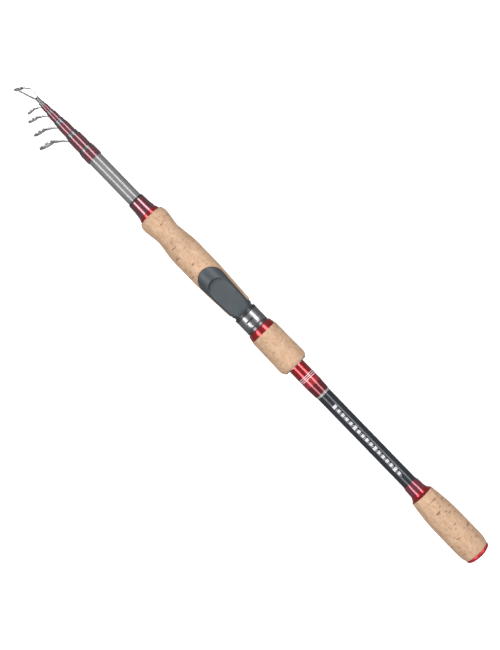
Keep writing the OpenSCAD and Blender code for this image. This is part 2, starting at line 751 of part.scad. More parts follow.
module tip_top_frame() {
    leg_r = tip_leg_wire / 2;
    brace_r = tip_brace_wire / 2;
    reach = tip_ring_od / 2 + leg_r - 0.25;
    brace_reach = tip_ring_od / 2 + brace_r - 0.15;
    color("silver") {
        ring(tip_tube_x, tip_tube_x + tip_tube_len, tip_tube_r, tip_end_od / 2 + glue_gap);
        at_guide_side() {
            guide_band(tip_centre, tip_ring_lean, tip_ring_od, tip_ring_w);
            for (side = [-1, 1]) {
                foot = [tip_tube_x + leg_r + 0.4, side * (tip_tube_r + leg_r - 0.2), 0];
                wire(foot, ring_point(tip_centre, tip_ring_lean, reach, 114, side), leg_r);
                translate(foot)
                    sphere(leg_r);
                heel = [tip_tube_x + brace_r + 0.2, side * 0.9, -tip_tube_r - brace_r + 0.25];
                bend_at = [tip_x + 13.6, side * 1.4, -1.75];
                translate(heel)
                    sphere(brace_r);
                wire(heel, bend_at, brace_r);
                wire(bend_at, ring_point(tip_centre, tip_ring_lean, brace_reach, 25, side), brace_r * 0.98);
            }
        }
    }
}

module tip_top_ring() {
    color("#3c4146")
        at_guide_side()
            guide_insert(tip_centre, tip_ring_lean, tip_ring_od, tip_ring_bore, tip_ring_w);
}

butt_blank();
mouth_ring();
mouth_wrap();
trim_ring();
fore_check();
fore_check_ring();
fore_grip();
seat_body();
rear_tube();
trim_bands();
rear_wrap();
rear_wrap_resin();
butt_wrap();
butt_check();
butt_grip();
butt_insert();
hood_liner();
moving_hood();
hood_ring();
nut_ring();
nut_core();
nut_cork();
nut_rear_ring();
butt_cap();
cap_screw();
cap_seal();
cap_bumper();
section_blank(0);  // section_1_blank
section_ring(0);  // section_1_ring
section_wrap(0);  // section_1_wrap
guide_frame(0);  // guide_1_frame
guide_ring(0);  // guide_1_ring
section_blank(1);  // section_2_blank
section_ring(1);  // section_2_ring
section_wrap(1);  // section_2_wrap
guide_frame(1);  // guide_2_frame
guide_ring(1);  // guide_2_ring
section_blank(2);  // section_3_blank
section_ring(2);  // section_3_ring
section_wrap(2);  // section_3_wrap
guide_frame(2);  // guide_3_frame
guide_ring(2);  // guide_3_ring
section_blank(3);  // section_4_blank
section_ring(3);  // section_4_ring
section_wrap(3);  // section_4_wrap
guide_frame(3);  // guide_4_frame
guide_ring(3);  // guide_4_ring
tip_blank();
tip_top_frame();
tip_top_ring();
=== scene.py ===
import math

import bpy
import numpy as np
from mathutils import Matrix, Vector
from mathutils.bvhtree import BVHTree


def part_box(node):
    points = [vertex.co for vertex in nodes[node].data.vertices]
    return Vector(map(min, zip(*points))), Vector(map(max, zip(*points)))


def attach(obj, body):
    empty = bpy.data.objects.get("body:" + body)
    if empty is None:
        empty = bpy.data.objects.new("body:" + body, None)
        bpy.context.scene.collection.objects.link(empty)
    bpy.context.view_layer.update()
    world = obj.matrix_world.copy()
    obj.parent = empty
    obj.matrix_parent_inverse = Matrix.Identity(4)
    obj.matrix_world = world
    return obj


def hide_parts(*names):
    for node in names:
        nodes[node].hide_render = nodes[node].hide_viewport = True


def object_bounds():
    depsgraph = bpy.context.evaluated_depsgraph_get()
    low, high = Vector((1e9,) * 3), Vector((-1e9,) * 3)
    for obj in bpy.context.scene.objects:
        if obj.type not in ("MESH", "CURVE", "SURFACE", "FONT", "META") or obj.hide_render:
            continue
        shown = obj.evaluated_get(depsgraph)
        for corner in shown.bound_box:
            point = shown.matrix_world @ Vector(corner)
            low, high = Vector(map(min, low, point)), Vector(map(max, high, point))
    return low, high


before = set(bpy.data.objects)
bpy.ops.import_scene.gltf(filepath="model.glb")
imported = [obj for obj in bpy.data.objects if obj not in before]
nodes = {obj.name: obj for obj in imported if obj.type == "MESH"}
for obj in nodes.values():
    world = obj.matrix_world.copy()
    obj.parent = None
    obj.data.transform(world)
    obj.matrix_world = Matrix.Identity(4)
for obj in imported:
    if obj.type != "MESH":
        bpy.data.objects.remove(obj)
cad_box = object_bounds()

# ---- The whole rod: where its axis lies and how the camera looks at it ----
# The blank is a straight tube, so its box gives the axis that every turned piece shares.
# The camera looks down on the reel-foot bed, turned a little away from the guides.
mm = 0.001
low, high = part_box("butt_blank")
axis_z = (low.z + high.z) / 2
guide_turn = math.radians(83)
guide_side = Vector((0, math.sin(guide_turn), math.cos(guide_turn)))
to_camera = Vector((0, -math.cos(guide_turn), math.sin(guide_turn)))
rod_angle = math.radians(45.87)
distance = 1.15
view_height = 520 * mm
aim = Vector((-28.4 * mm, 0, axis_z)) + guide_side * 3.8 * mm
tip_way = Vector((1, 0, 0))
right = -math.cos(rod_angle) * tip_way - math.sin(rod_angle) * guide_side
up = math.sin(rod_angle) * tip_way - math.cos(rod_angle) * guide_side

camera_data = bpy.data.cameras.new("camera")
camera_data.sensor_fit = "AUTO"
camera_data.lens = camera_data.sensor_width * distance / view_height
camera = bpy.data.objects.new("camera", camera_data)
bpy.context.scene.collection.objects.link(camera)
camera.matrix_world = Matrix((
    (right.x, up.x, to_camera.x, aim.x + to_camera.x * distance),
    (right.y, up.y, to_camera.y, aim.y + to_camera.y * distance),
    (right.z, up.z, to_camera.z, aim.z + to_camera.z * distance),
    (0, 0, 0, 1)))
bpy.context.scene.camera = camera

# ---- The studio: a pale floor that the rod lies on, a soft sky and long soft lights ----
# Two strip lights run along the rod, one on each side of the camera, and put the two
# bright streaks on its round pieces. A broad light over them fills the shadows.
floor_size = 8
floor_z = cad_box[0][2] - 0.1 * mm
floor_mesh = bpy.data.meshes.new("floor")
floor_mesh.from_pydata(
    [(x * floor_size, y * floor_size, floor_z)
     for x, y in ((-1, -1), (1, -1), (1, 1), (-1, 1))],
    [], [(0, 1, 2, 3)])
floor = bpy.data.objects.new("floor", floor_mesh)
bpy.context.scene.collection.objects.link(floor)
floor.visible_glossy = False
floor.visible_diffuse = False
floor_material = bpy.data.materials.new("pale_floor")
floor_material.use_nodes = True
floor_shader = floor_material.node_tree.nodes["Principled BSDF"]
floor_shader.inputs["Base Color"].default_value = (0.93, 0.93, 0.93, 1)
floor_shader.inputs["Roughness"].default_value = 0.9
floor_shader.inputs["Emission Color"].default_value = (1, 1, 1, 1)
floor_shader.inputs["Emission Strength"].default_value = 0.6
floor_mesh.materials.append(floor_material)

world = bpy.data.worlds.new("soft_sky")
world.use_nodes = True
world.node_tree.nodes["Background"].inputs["Color"].default_value = (0.97, 0.98, 1, 1)
world.node_tree.nodes["Background"].inputs["Strength"].default_value = 0.3
bpy.context.scene.world = world
bpy.context.scene.view_settings.view_transform = "Standard"


def soft_light(name, towards, away, width, length, power):
    """An area light whose long side runs along the rod, facing the rod from one side."""
    data = bpy.data.lights.new(name, "AREA")
    data.shape = "RECTANGLE"
    data.size = length
    data.size_y = width
    data.energy = power
    light = bpy.data.objects.new(name, data)
    bpy.context.scene.collection.objects.link(light)
    back = towards.normalized()
    side = back.cross(tip_way)
    place = aim + back * away
    light.matrix_world = Matrix((
        (1, side.x, back.x, place.x), (0, side.y, back.y, place.y),
        (0, side.z, back.z, place.z), (0, 0, 0, 1)))
    return light


strip_angle = math.radians(37)
for name, way in (("strip_left", 1), ("strip_right", -1)):
    towards = to_camera * math.cos(strip_angle) + guide_side * math.sin(strip_angle) * way
    soft_light(name, towards, away=1.3, width=0.36, length=2.4, power=17)
fill = soft_light("fill_above", to_camera, away=2.6, width=2.6, length=3.2, power=12)
fill.visible_glossy = False


# ---- Blank: a tapered tube of carbon cloth, painted and clear coated ----
# It is rolled on a mandrel under tape, which leaves fine turns across it. Ahead of the
# fore grip it is silver grey, and behind the seat it is black. The inner sections match.
def new_material(name):
    """A node material with its shader and a function that adds a node with its settings."""
    material = bpy.data.materials.new(name)
    material.use_nodes = True
    tree = material.node_tree
    shader = tree.nodes["Principled BSDF"]

    def add(kind, **settings):
        node = tree.nodes.new(kind)
        for key, value in settings.items():
            setattr(node, key, value)
        return node

    return material, tree, shader, add


def link(tree, source, target):
    tree.links.new(source, target)


def object_coords(tree, add, scale):
    """Object coordinates stretched by a different factor along each axis."""
    where = add("ShaderNodeTexCoord")
    mapping = add("ShaderNodeMapping")
    mapping.inputs["Scale"].default_value = scale
    link(tree, where.outputs["Object"], mapping.inputs["Vector"])
    return mapping.outputs["Vector"]


def noise(tree, add, vector, scale, detail=2, roughness=0.5):
    """A noise texture's value, from 0 to 1."""
    texture = add("ShaderNodeTexNoise")
    texture.inputs["Scale"].default_value = scale
    texture.inputs["Detail"].default_value = detail
    texture.inputs["Roughness"].default_value = roughness
    link(tree, vector, texture.inputs["Vector"])
    return texture.outputs["Fac"]


def ramp(tree, add, factor, stops):
    """A colour ramp, whose stops are (place, colour)."""
    node = add("ShaderNodeValToRGB")
    elements = node.color_ramp.elements
    for index, (place, colour) in enumerate(stops):
        element = elements[index] if index < 2 else elements.new(place)
        element.position = place
        element.color = tuple(colour) + (1,)
    link(tree, factor, node.inputs["Fac"])
    return node.outputs["Color"]


def bump(tree, add, shader, height, strength, distance_m, edge=0.12 * mm):
    """Fine relief over edges that are softened by a small radius."""
    soften = add("ShaderNodeBevel", samples=4)
    soften.inputs["Radius"].default_value = edge
    node = add("ShaderNodeBump")
    link(tree, soften.outputs["Normal"], node.inputs["Normal"])
    node.inputs["Strength"].default_value = strength
    node.inputs["Distance"].default_value = distance_m
    link(tree, height, node.inputs["Height"])
    link(tree, node.outputs["Normal"], shader.inputs["Normal"])


def rough(tree, add, shader, factor, low_value, high_value):
    """Roughness that varies between two values with a texture."""
    spread = add("ShaderNodeMapRange")
    spread.inputs["To Min"].default_value = low_value
    spread.inputs["To Max"].default_value = high_value
    link(tree, factor, spread.inputs["Value"])
    link(tree, spread.outputs["Result"], shader.inputs["Roughness"])


def blank_paint(name, front, rear):
    """Paint over carbon: one colour ahead of the origin and another behind it."""
    material, tree, shader, add = new_material(name)
    turns = noise(tree, add, object_coords(tree, add, (900, 40, 40)), 1, 3)
    cloudy = noise(tree, add, object_coords(tree, add, (60, 60, 60)), 1, 4)
    place = add("ShaderNodeSeparateXYZ")
    link(tree, object_coords(tree, add, (1, 1, 1)), place.inputs[0])
    ahead = add("ShaderNodeMath", operation="GREATER_THAN")
    ahead.inputs[1].default_value = 0
    link(tree, place.outputs["X"], ahead.inputs[0])
    mix = add("ShaderNodeMix", data_type="RGBA")
    link(tree, ahead.outputs[0], mix.inputs["Factor"])
    link(tree, ramp(tree, add, cloudy, [(0.3, rear[0]), (0.7, rear[1])]), mix.inputs[6])
    link(tree, ramp(tree, add, cloudy, [(0.3, front[0]), (0.7, front[1])]), mix.inputs[7])
    link(tree, mix.outputs[2], shader.inputs["Base Color"])
    metal = add("ShaderNodeMath", operation="MULTIPLY")
    metal.inputs[1].default_value = 0.4
    link(tree, ahead.outputs[0], metal.inputs[0])
    link(tree, metal.outputs[0], shader.inputs["Metallic"])
    rough(tree, add, shader, turns, 0.2, 0.3)
    bump(tree, add, shader, turns, 0.1, 0.02 * mm)
    shader.inputs["Coat Weight"].default_value = 0.1
    shader.inputs["Coat Roughness"].default_value = 0.12
    return material


silver_grey = ((0.22, 0.22, 0.222), (0.265, 0.265, 0.265))
blank_black = ((0.012, 0.015, 0.02), (0.022, 0.026, 0.032))


def dress(material, *names):
    """Gives CAD nodes their finish."""
    for name in names:
        for slot in nodes[name].material_slots:
            slot.material = material


blank_finish = blank_paint("blank_finish", silver_grey, blank_black)
section_finish = blank_paint("section_finish", silver_grey, silver_grey)
dress(blank_finish, "butt_blank")
dress(section_finish, *[f"section_{i}_blank" for i in (1, 2, 3, 4)], "tip_blank")


# ---- Mouth ring and the plain rings at the front of each section ----
# Turned aluminium, anodised dark grey, pushed on and bonded. They stop each mouth from
# splitting when the section ahead is drawn tight.
def turned_metal(name, colour, roughness, metallic=1.0, coat=0.0):
    """Metal turned on a lathe: fine rings along the axis, and slight wear in the colour."""
    material, tree, shader, add = new_material(name)
    marks = noise(tree, add, object_coords(tree, add, (5200, 60, 60)), 1, 2)
    wear = noise(tree, add, object_coords(tree, add, (320, 320, 320)), 1, 4, 0.65)
    darker = [c * 0.8 for c in colour]
    link(tree, ramp(tree, add, wear, [(0.25, darker), (0.6, colour)]),
         shader.inputs["Base Color"])
    shader.inputs["Metallic"].default_value = metallic
    rough(tree, add, shader, marks, roughness * 0.8, roughness * 1.3)
    bump(tree, add, shader, marks, 0.15, 0.01 * mm)
    shader.inputs["Coat Weight"].default_value = coat
    shader.inputs["Coat Roughness"].default_value = 0.04
    return material


ring_finish = turned_metal("ring_finish", (0.2, 0.205, 0.215), 0.3)
dress(ring_finish, "mouth_ring", *[f"section_{i}_ring" for i in (1, 2, 3, 4)])


# ---- Thread wraps: dark red thread wound tight on the blank, under clear resin ----
# The thread binds each guide's foot and each mouth. Its turns are made as rings that
# follow the surface of the wrap, and the resin over them gives the gloss.
thread_pitch = 0.3 * mm
thread_size = 0.27 * mm
thread_sides = 6
turn_corners = 72


def wrap_finish(name, colour, deep):
    """Metallic thread under gloss resin, with a line of shade between its turns."""
    material, tree, shader, add = new_material(name)
    place = object_coords(tree, add, (1, 1, 1))
    turns = add("ShaderNodeTexWave", wave_type="BANDS", bands_direction="X")
    # A band texture of scale s repeats every tau / (20 s).
    turns.inputs["Scale"].default_value = math.tau / 20 / thread_pitch
    turns.inputs["Distortion"].default_value = 0.2
    link(tree, place, turns.inputs["Vector"])
    strands = noise(tree, add, object_coords(tree, add, (1800, 500, 500)), 1, 3)
    mixed = add("ShaderNodeMath", operation="MULTIPLY")
    link(tree, turns.outputs["Fac"], mixed.inputs[0])
    link(tree, strands, mixed.inputs[1])
    link(tree, ramp(tree, add, mixed.outputs[0], [(0.05, deep), (0.45, colour)]),
         shader.inputs["Base Color"])
    shader.inputs["Metallic"].default_value = 0.6
    rough(tree, add, shader, strands, 0.16, 0.26)
    shader.inputs["Coat Weight"].default_value = 1
    shader.inputs["Coat Roughness"].default_value = 0.03
    return material


def new_tree(name, **sockets):
    """A Geometry Nodes tree with named inputs, and functions that add, join and fill nodes."""
    tree = bpy.data.node_groups.new(name, "GeometryNodeTree")
    face = tree.interface
    face.new_socket("Geometry", in_out="INPUT", socket_type="NodeSocketGeometry")
    for title, kind in sockets.items():
        face.new_socket(title.replace("_", " "), in_out="INPUT", socket_type="NodeSocket" + kind)
    face.new_socket("Geometry", in_out="OUTPUT", socket_type="NodeSocketGeometry")
    new = tree.nodes.new
    join = tree.links.new

    def fill(kind, *values, operation=None):
        node = new(kind)
        if operation:
            node.operation = operation
        for socket, value in zip(node.inputs, values):
            if isinstance(value, (int, float, tuple)):
                socket.default_value = value
            else:
                join(value, socket)
        return node

    return tree, new, join, fill


def end_tree(new, join, geometry, finish):
    """Gives what a tree has made its finish, and hands it over."""
    paint = new("GeometryNodeSetMaterial")
    join(geometry, paint.inputs["Geometry"])
    join(finish, paint.inputs["Material"])
    join(paint.outputs["Geometry"], new("NodeGroupOutput").inputs[0])


def thread_tree():
    """Rings spaced along X on a surface, each as large as the surface is where it lies."""
    tree, new, join, fill = new_tree(
        "thread_turns", Wrap="Object", Rear="Float", Front="Float", Axis_Height="Float",
        Pitch="Float", Thread="Float", Sink="Float", Finish="Material")
    given = new("NodeGroupInput").outputs
    reach = 0.04

    def number(operation, *values):
        return fill("ShaderNodeMath", *values, operation=operation).outputs[0]

    def vector(*values):
        return fill("ShaderNodeCombineXYZ", *values).outputs[0]

    length = number("SUBTRACT", given["Front"], given["Rear"])
    count = number("FLOOR", number("DIVIDE", length, given["Pitch"]))
    start = number("ADD", given["Rear"], number("MULTIPLY", given["Pitch"], 0.5))
    line = new("GeometryNodeMeshLine")
    line.mode = "OFFSET"
    join(count, line.inputs["Count"])
    join(vector(start, 0.0, given["Axis Height"]), line.inputs["Start Location"])
    join(vector(given["Pitch"]), line.inputs["Offset"])

    target = new("GeometryNodeObjectInfo")
    join(given["Wrap"], target.inputs["Object"])
    spot = new("GeometryNodeInputPosition")
    below = new("ShaderNodeVectorMath")
    below.operation = "ADD"
    below.inputs[1].default_value = (0, 0, -reach)
    join(spot.outputs[0], below.inputs[0])
    cast = new("GeometryNodeRaycast")
    cast.inputs["Ray Direction"].default_value = (0, 0, 1)
    cast.inputs["Ray Length"].default_value = reach
    join(target.outputs["Geometry"], cast.inputs["Target Geometry"])
    join(below.outputs[0], cast.inputs["Source Position"])
    outside = number("SUBTRACT", reach, cast.outputs["Hit Distance"])
    radius = number("SUBTRACT", outside, given["Sink"])

    turn = new("GeometryNodeCurvePrimitiveCircle")
    turn.inputs["Resolution"].default_value = turn_corners
    turn.inputs["Radius"].default_value = 1
    place = new("GeometryNodeInstanceOnPoints")
    join(line.outputs["Mesh"], place.inputs["Points"])
    join(cast.outputs["Is Hit"], place.inputs["Selection"])
    join(turn.outputs["Curve"], place.inputs["Instance"])
    place.inputs["Rotation"].default_value = (0, math.pi / 2, 0)
    join(vector(radius, radius, radius), place.inputs["Scale"])
    real = new("GeometryNodeRealizeInstances")
    join(place.outputs["Instances"], real.inputs["Geometry"])
    even = new("GeometryNodeSetCurveRadius")
    even.inputs["Radius"].default_value = 1
    join(real.outputs[0], even.inputs["Curve"])
    section = new("GeometryNodeCurvePrimitiveCircle")
    section.inputs["Resolution"].default_value = thread_sides
    join(number("MULTIPLY", given["Thread"], 0.5), section.inputs["Radius"])
    sweep = new("GeometryNodeCurveToMesh")
    join(even.outputs["Curve"], sweep.inputs["Curve"])
    join(section.outputs["Curve"], sweep.inputs["Profile Curve"])
    smooth = new("GeometryNodeSetShadeSmooth")
    join(sweep.outputs["Mesh"], smooth.inputs["Geometry"])
    final = new("GeometryNodeRealizeInstances")
    join(smooth.outputs["Geometry"], final.inputs["Geometry"])
    end_tree(new, join, final.outputs[0], given["Finish"])
    return tree


def grown(name, tree, base, **values):
    """Runs a Geometry Nodes tree on a mesh and returns the result as a plain object."""
    source = bpy.data.objects.new(name + "_source", base)
    bpy.context.scene.collection.objects.link(source)
    modifier = source.modifiers.new("nodes", "NODES")
    modifier.node_group = tree
    for item in tree.interface.items_tree:
        if item.in_out == "INPUT" and item.name in values:
            modifier[item.identifier] = values[item.name]
    bpy.context.view_layer.update()
    ready = source.evaluated_get(bpy.context.evaluated_depsgraph_get())
    mesh = bpy.data.meshes.new_from_object(ready)
    source.modifiers.remove(modifier)
    bpy.data.objects.remove(source)
    mesh.name = name
    piece = bpy.data.objects.new(name, mesh)
    bpy.context.scene.collection.objects.link(piece)
    return piece


maroon = wrap_finish("maroon_wrap", (0.27, 0.085, 0.11), (0.11, 0.03, 0.042))
butt_red = wrap_finish("butt_wrap_finish", (0.30, 0.055, 0.085), (0.15, 0.02, 0.035))
wraps = [("mouth_wrap", "butt_section"), ("butt_wrap", "butt_section")]
wraps += [(f"section_{i}_wrap", f"section_{i}") for i in (1, 2, 3, 4)]
turns_tree = thread_tree()
rear_margin = 0.15 * mm
front_margin = 0.1 * mm
sunk_share = 0.46
for node, body in wraps:
    finish = butt_red if node == "butt_wrap" else maroon
    dress(finish, node)
    low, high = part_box(node)
    threads = grown(
        node + "_thread", turns_tree, bpy.data.meshes.new(node),
        **{"Wrap": nodes[node], "Rear": low.x + rear_margin, "Front": high.x - front_margin,
           "Axis Height": axis_z, "Pitch": thread_pitch, "Thread": thread_size,
           "Sink": thread_size * sunk_share, "Finish": finish})
    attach(threads, body)


# ---- Winding check and trim rings ahead of the fore grip ----
# A flared collar of anodised aluminium closes the front of the cork. A thin black ring
# hides its front edge and a brighter ring its rear edge. All are bonded to the blank.
anodised_deep = turned_metal("anodised_deep", (0.36, 0.13, 0.155), 0.2, coat=0.6)
anodised_red = turned_metal("anodised_red", (0.66, 0.05, 0.06), 0.22, coat=0.5)
dress(anodised_deep, "fore_check")
dress(anodised_red, "fore_check_ring")


def moulded(name, colour, roughness, grain=900, depth=0.015 * mm):
    """Moulded plastic or rubber with a fine skin texture."""
    material, tree, shader, add = new_material(name)
    skin = noise(tree, add, object_coords(tree, add, (grain, grain, grain)), 1, 3)
    cloudy = noise(tree, add, object_coords(tree, add, (110, 110, 110)), 1, 3)
    lighter = [c * 1.25 for c in colour]
    link(tree, ramp(tree, add, cloudy, [(0.3, colour), (0.75, lighter)]),
         shader.inputs["Base Color"])
    rough(tree, add, shader, skin, roughness * 0.88, roughness * 1.12)
    bump(tree, add, shader, skin, 0.3, depth)
    return material


gloss_black = moulded("gloss_black", (0.02, 0.022, 0.026), 0.25)
dress(gloss_black, "trim_ring")


# ---- Cork fore grip, nut sleeve and butt grip ----
# Each is a stack of punched cork rings, glued, bored for the blank and sanded to shape.
# The pits are the pores of the bark. They are cut into the surface and filled darker.
cork_ring = 12.7 * mm
pit_depth = 0.32 * mm
plain_rim = 1.6 * mm
seed_step = 7.31
glue_start = 0.465
glue_depth = 0.12


def cork_finish():
    """Warm cork: the shade differs from ring to ring, and pores and glue lines are darker."""
    material, tree, shader, add = new_material("cork_finish")
    place = object_coords(tree, add, (1, 1, 1))
    split = add("ShaderNodeSeparateXYZ")
    link(tree, place, split.inputs[0])
    rings = add("ShaderNodeMath", operation="DIVIDE")
    rings.inputs[1].default_value = cork_ring
    link(tree, split.outputs["X"], rings.inputs[0])
    number = add("ShaderNodeMath", operation="FLOOR")
    link(tree, rings.outputs[0], number.inputs[0])
    pick = add("ShaderNodeTexWhiteNoise", noise_dimensions="1D")
    link(tree, number.outputs[0], pick.inputs["W"])
    grain = noise(tree, add, object_coords(tree, add, (150, 330, 330)), 1, 5, 0.62)
    blotch = noise(tree, add, object_coords(tree, add, (60, 85, 85)), 1, 2)
    plain = ramp(tree, add, grain, [(0.22, (0.37, 0.215, 0.125)), (0.4, (0.49, 0.315, 0.2)),
                                    (0.6, (0.56, 0.375, 0.25)), (0.85, (0.61, 0.43, 0.30))])
    flecks = noise(tree, add, object_coords(tree, add, (1150, 620, 620)), 1, 3, 0.6)
    long_flecks = noise(tree, add, object_coords(tree, add, (900, 230, 230)), 1, 2, 0.5)
    fleck = add("ShaderNodeMath", operation="MAXIMUM")
    for index, (source, start, end) in enumerate(((flecks, 0.60, 0.68),
                                                  (long_flecks, 0.64, 0.70))):
        level = add("ShaderNodeMapRange")
        level.inputs["From Min"].default_value = start
        level.inputs["From Max"].default_value = end
        link(tree, source, level.inputs["Value"])
        link(tree, level.outputs["Result"], fleck.inputs[index])
    speckled = add("ShaderNodeMix", data_type="RGBA")
    speckled.inputs[7].default_value = (0.33, 0.18, 0.1, 1)
    link(tree, fleck.outputs[0], speckled.inputs["Factor"])
    link(tree, plain, speckled.inputs[6])
    shade = add("ShaderNodeHueSaturation")
    value = add("ShaderNodeMapRange")
    value.inputs["To Min"].default_value = 0.9
    value.inputs["To Max"].default_value = 1.08
    both = add("ShaderNodeMath", operation="ADD")
    for index, (source, share) in enumerate(((pick.outputs["Value"], 0.5), (blotch, 0.6))):
        part = add("ShaderNodeMath", operation="MULTIPLY")
        part.inputs[1].default_value = share
        link(tree, source, part.inputs[0])
        link(tree, part.outputs[0], both.inputs[index])
    link(tree, both.outputs[0], value.inputs["Value"])
    link(tree, value.outputs["Result"], shade.inputs["Value"])
    link(tree, speckled.outputs[2], shade.inputs["Color"])
    pits = add("ShaderNodeAttribute", attribute_name="pit")
    dark = add("ShaderNodeMix", data_type="RGBA")
    dark.inputs[7].default_value = (0.26, 0.135, 0.07, 1)
    link(tree, pits.outputs["Fac"], dark.inputs["Factor"])
    link(tree, shade.outputs["Color"], dark.inputs[6])
    link(tree, dark.outputs[2], shader.inputs["Base Color"])
    rough(tree, add, shader, grain, 0.62, 0.85)
    bump(tree, add, shader, grain, 0.35, 0.06 * mm)
    shader.inputs["Specular IOR Level"].default_value = 0.25
    return material


def outer_outline(node, least):
    """(x, radius) of a turned CAD node's outside beyond `least`, read along its underside."""
    station = 0.02 * mm
    best = {}
    for vertex in nodes[node].data.vertices:
        x, y, z = vertex.co
        radius = math.hypot(y, z - axis_z)
        if z - axis_z < -0.3 * radius:
            key = round(x / station)
            best[key] = max(best.get(key, (x, 0)), (x, radius), key=lambda pair: pair[1])
    return [best[key] for key in sorted(best) if best[key][1] > least]


def turned_mesh(name, outline, bore, step, around):
    """A closed turned body with an even grid over its outside, and a plain bore."""
    xs = [p[0] for p in outline]
    count = max(2, round((xs[-1] - xs[0]) / step))
    stations = [xs[0] + (xs[-1] - xs[0]) * i / count for i in range(count + 1)]
    radii = np.interp(stations, xs, [p[1] for p in outline])
    rows = [(xs[0], bore)] + list(zip(stations, radii)) + [(xs[-1], bore)]
    verts = [(x, r * math.sin(a), axis_z + r * math.cos(a))
             for x, r in rows for a in [math.tau * k / around for k in range(around)]]
    faces = []
    for i in range(len(rows)):
        j = (i + 1) % len(rows)
        for k in range(around):
            m = (k + 1) % around
            faces.append((i * around + k, j * around + k, j * around + m, i * around + m))
    mesh = bpy.data.meshes.new(name)
    mesh.from_pydata(verts, [], faces)
    mesh.polygons.foreach_set("use_smooth", [True] * len(mesh.polygons))
    return mesh


def cork_tree():
    """Sinks pits and glue lines into a turned surface, and notes their depth as 'pit'."""
    tree, new, join, fill = new_tree(
        "cork_surface", Axis_Height="Float", Bore="Float", Depth="Float", Ring_Length="Float",
        Seed="Float", Finish="Material")
    given = new("NodeGroupInput").outputs

    def number(operation, *values):
        return fill("ShaderNodeMath", *values, operation=operation).outputs[0]

    def pores(scale, stretch, low_value, high_value):
        moved = fill("ShaderNodeVectorMath", spot, stretch, operation="MULTIPLY").outputs[0]
        texture = new("ShaderNodeTexNoise")
        texture.noise_dimensions = "4D"
        texture.inputs["Scale"].default_value = scale
        texture.inputs["Detail"].default_value = 1.5
        join(moved, texture.inputs["Vector"])
        join(shift, texture.inputs["W"])
        fade = new("ShaderNodeMapRange")
        fade.interpolation_type = "SMOOTHSTEP"
        fade.inputs["From Min"].default_value = low_value
        fade.inputs["From Max"].default_value = high_value
        join(texture.outputs["Fac"], fade.inputs["Value"])
        return fade.outputs["Result"]

    spot = new("GeometryNodeInputPosition").outputs[0]
    split = new("ShaderNodeSeparateXYZ")
    join(spot, split.inputs[0])
    rings = number("DIVIDE", split.outputs["X"], given["Ring Length"])
    shift = number("ADD", number("MULTIPLY", number("FLOOR", rings), seed_step), given["Seed"])
    across = new("ShaderNodeCombineXYZ")
    join(split.outputs["Y"], across.inputs["Y"])
    join(number("SUBTRACT", split.outputs["Z"], given["Axis Height"]), across.inputs["Z"])
    outward = fill("ShaderNodeVectorMath", across.outputs[0], operation="NORMALIZE").outputs[0]
    radius = fill("ShaderNodeVectorMath", across.outputs[0], operation="LENGTH").outputs["Value"]
    small = pores(700, (1.0, 0.6, 0.6), 0.66, 0.71)
    long_pores = pores(420, (1.2, 0.3, 0.3), 0.665, 0.72)
    large = pores(300, (0.9, 0.6, 0.6), 0.70, 0.74)
    from_line = number("ABSOLUTE", number("SUBTRACT", number("FRACT", rings), 0.5))
    glue = new("ShaderNodeMapRange")
    glue.interpolation_type = "SMOOTHSTEP"
    glue.inputs["From Min"].default_value = glue_start
    glue.inputs["From Max"].default_value = 0.5
    glue.inputs["To Max"].default_value = glue_depth
    join(from_line, glue.inputs["Value"])
    pit = number("MAXIMUM", number("MAXIMUM", number("MULTIPLY", small, 0.75), long_pores), large)
    pit = number("MAXIMUM", pit, glue.outputs["Result"])
    outside = number("GREATER_THAN", radius, number("ADD", given["Bore"], plain_rim))
    pit = number("MULTIPLY", pit, outside)
    note = new("GeometryNodeStoreNamedAttribute")
    note.data_type = "FLOAT"
    note.domain = "POINT"
    note.inputs["Name"].default_value = "pit"
    join(given["Geometry"], note.inputs["Geometry"])
    join(pit, note.inputs["Value"])
    sink = number("MULTIPLY", number("MULTIPLY", pit, given["Depth"]), -1)
    inward = fill("ShaderNodeVectorMath", outward, operation="SCALE")
    join(sink, inward.inputs["Scale"])
    move = new("GeometryNodeSetPosition")
    join(note.outputs[0], move.inputs["Geometry"])
    join(inward.outputs[0], move.inputs["Offset"])
    final = new("GeometryNodeRealizeInstances")
    join(move.outputs[0], final.inputs["Geometry"])
    end_tree(new, join, final.outputs[0], given["Finish"])
    return tree


cork = cork_finish()
pit_tree = cork_tree()


def cork_piece(node, name, seed, inner, least, around=208, step=0.37 * mm):
    """The pitted copy of a turned cork node."""
    mesh = turned_mesh(name, outer_outline(node, least), inner, step, around)
    return grown(name, pit_tree, mesh, **{
        "Axis Height": axis_z, "Bore": inner, "Depth": pit_depth, "Ring Length": cork_ring,
        "Seed": seed, "Finish": cork})


blank_radius = (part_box("butt_blank")[1].z - axis_z) + 0.05 * mm
core_radius = (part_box("nut_core")[1].z - axis_z) + 0.05 * mm
barrel_radius = axis_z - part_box("seat_body")[0].z
butt_cork = cork_piece("butt_grip", "butt_grip_cork", 3.0, blank_radius, blank_radius + 0.5 * mm)
nut_cork = cork_piece("nut_cork", "nut_cork_sleeve", 11.0, core_radius, core_radius + 0.3 * mm)
fore_cork = cork_piece("fore_grip", "fore_grip_cork", 23.0, blank_radius, barrel_radius)

